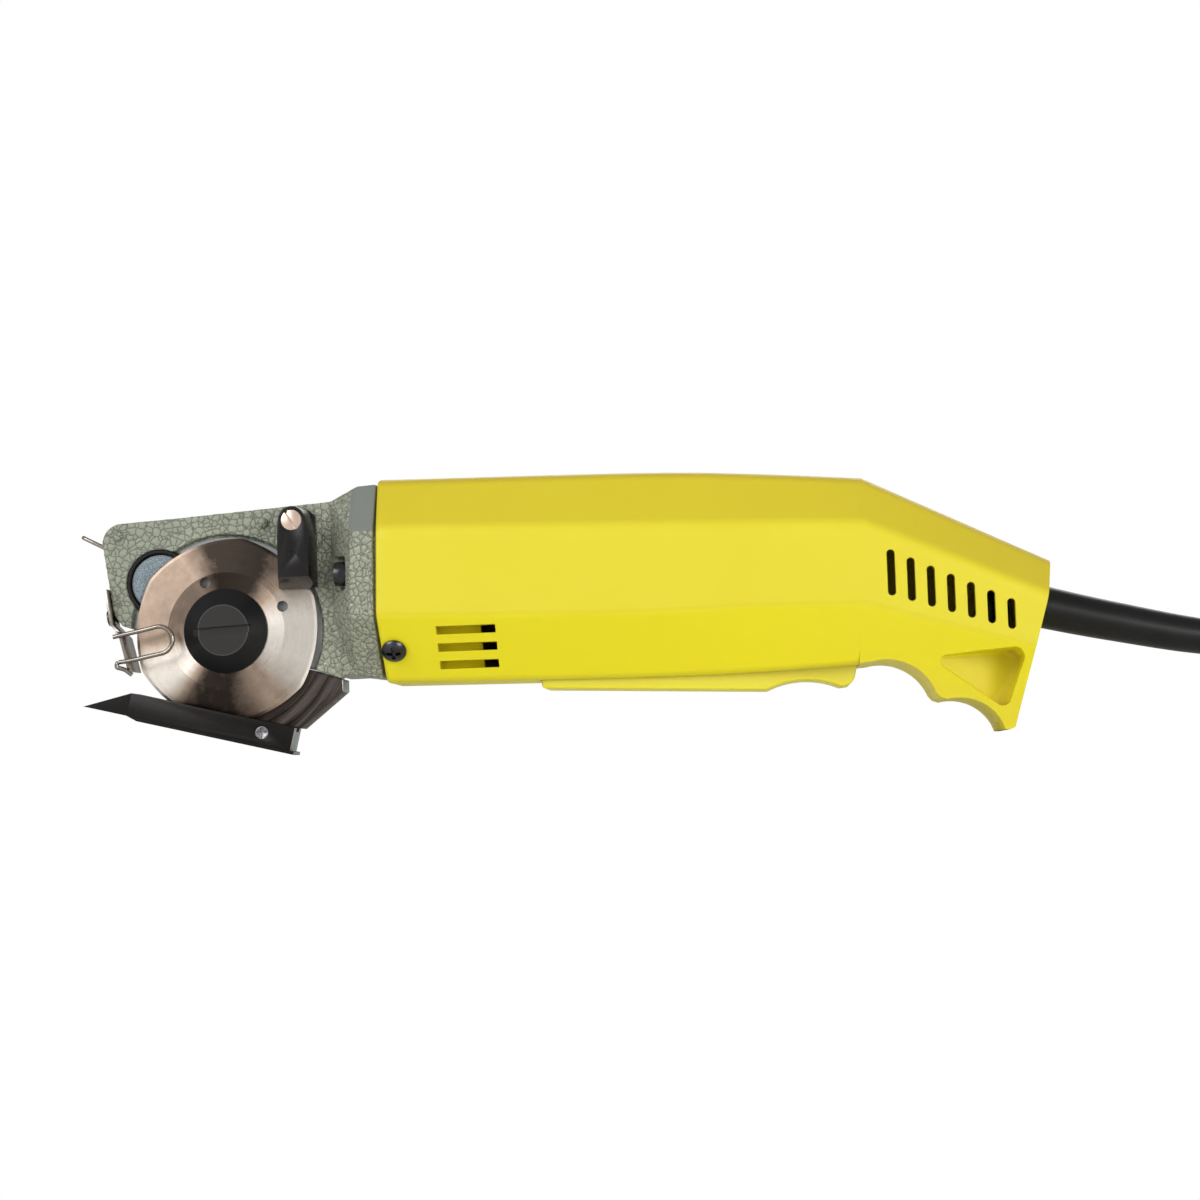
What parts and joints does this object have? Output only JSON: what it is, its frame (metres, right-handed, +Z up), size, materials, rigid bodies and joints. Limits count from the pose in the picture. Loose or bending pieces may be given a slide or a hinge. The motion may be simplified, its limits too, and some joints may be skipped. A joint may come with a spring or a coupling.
{
  "type": "electric round-knife cloth cutter",
  "caption": "Hand-held electric round-knife cloth cutter: moulded handle, cast gear head, bevelled round blade over a sloping foot, stone lever, trigger, and a mains lead in a tied hank.",
  "frame": {"origin": "middle of the cutter's length and width at the level it stands on, without the free cord", "axes": "+X along the handle from the blade to the cord, +Y from the blade side to the back, +Z up"},
  "size_m": [0.5417, 0.0686, 0.0748],
  "materials": {
    "handle_plastic": "satin moulded plastic, fine grain",
    "paddle_plastic": "satin moulded plastic, slightly paler",
    "dark_screw": "black zinc",
    "head_paint": "grey-green hammered paint",
    "bright_steel": "machined",
    "bronze": "sintered bronze",
    "hardened_steel": "ground",
    "laminations": "stacked sheet, varnished",
    "copper_wire": "enamelled wire",
    "copper_bars": "turned copper",
    "black_plastic": "moulded",
    "carbon": "pressed carbon",
    "blade_steel": "circularly ground, bright bevel",
    "black_oxide": "black oxide, satin",
    "grit": "blue-grey abrasive grit",
    "wire_nickel": "nickel plate, slightly warm",
    "copper_plate": "copper plate, slotted",
    "red_plastic": "moulded",
    "boot_rubber": "smooth black rubber, soft sheen",
    "lead_jacket": "smooth black jacket",
    "plug_brass": "nickelled brass"
  },
  "bodies": {
    "machine": {"near_shell": "handle_plastic", "far_shell": "handle_plastic", "shell_screws": "dark_screw", "front_screws": "dark_screw", "gear_head": "head_paint", "gear_cover": "head_paint", "cover_screws": "bright_steel", "flange_screws": "dark_screw", "front_bearing": "bright_steel", "rear_bearing": "bright_steel", "spindle_near_bush": "bronze", "spindle_rear_bush": "bronze", "stator_core": "laminations", "field_coils": "copper_wire", "brush_holders": "bronze", "carbon_brushes": "carbon", "brush_springs": "bright_steel", "stone_bracket": "hardened_steel", "lever_pin": "bright_steel", "guard_block": "black_plastic", "guard_block_screw": "copper_plate", "guard_screw": "dark_screw", "foot_base": "black_oxide", "foot_side_bar": "black_oxide", "foot_screw": "black_oxide", "foot_stand": "black_oxide", "trigger_pin": "bright_steel", "switch_body": "black_plastic", "switch_spring": "bright_steel", "cord_clamp": "black_plastic", "clamp_screws": "bright_steel", "cord_boot": "boot_rubber", "cord_lead": "lead_jacket", "cord_hank": "lead_jacket", "hank_tie": "black_plastic", "cord_tail": "lead_jacket", "plug_body": "boot_rubber", "plug_pins": "plug_brass"},
    "rotor": {"motor_shaft": "bright_steel", "worm": "hardened_steel", "armature_core": "laminations", "armature_windings": "copper_wire", "commutator": "copper_bars", "cooling_fan": "black_plastic"},
    "blade_drive": {"worm_wheel": "bronze", "blade_spindle": "bright_steel", "blade_backing_flange": "hardened_steel", "round_blade": "blade_steel", "blade_clamp_nut": "black_oxide"},
    "stone_slide": {"sharpening_stone": "grit", "stone_rod": "bright_steel"},
    "stone_handle": {"stone_lever": "wire_nickel"},
    "finger_guard": {"guard_strip": "wire_nickel", "guard_wire": "wire_nickel"},
    "trigger": {"trigger_paddle": "paddle_plastic"},
    "plunger": {"switch_plunger": "red_plastic"}
  },
  "joints": [
    {"name": "motor_spin", "type": "hinge", "parent": "machine", "child": "rotor", "pos_m": [0, 0, 0.0484], "axis": [1, 0, 0], "continuous": true},
    {"name": "blade_spin", "type": "hinge", "parent": "machine", "child": "blade_drive", "pos_m": [-0.0913, 0, 0.0347], "axis": [0, 1, 0], "continuous": true},
    {"name": "trigger_press", "type": "hinge", "parent": "machine", "child": "trigger", "pos_m": [-0.0004, 0, 0.0224], "axis": [0, -1, 0], "range_deg": [0, 3.2], "stiffness_Nm_per_rad": 0.4, "springref_deg": -2.86},
    {"name": "switch_plunge", "type": "slide", "parent": "machine", "child": "plunger", "axis": [0, 0, 1], "range_m": [0, 0.0032], "deforming": ["switch_spring"]},
    {"name": "stone_press", "type": "hinge", "parent": "machine", "child": "stone_handle", "pos_m": [-0.1055, -0.002, 0.0453], "axis": [0.6225, 0, 0.7826], "range_deg": [0, 5.4], "stiffness_Nm_per_rad": 0.05, "springref_deg": -2.86},
    {"name": "stone_push", "type": "slide", "parent": "machine", "child": "stone_slide", "axis": [0, -1, 0], "range_m": [0, 0.00053]},
    {"name": "guard_slide", "type": "slide", "parent": "machine", "child": "finger_guard", "axis": [0.134, 0, -0.991], "range_m": [0, 0.003]}
  ],
  "couplings": [
    {"joint": "blade_spin", "follows": "motor_spin", "ratio": -0.1},
    {"joint": "switch_plunge", "follows": "trigger_press", "m_per_rad": 0.0515},
    {"joint": "stone_push", "follows": "stone_press", "m_per_rad": 0.005622}
  ]
}
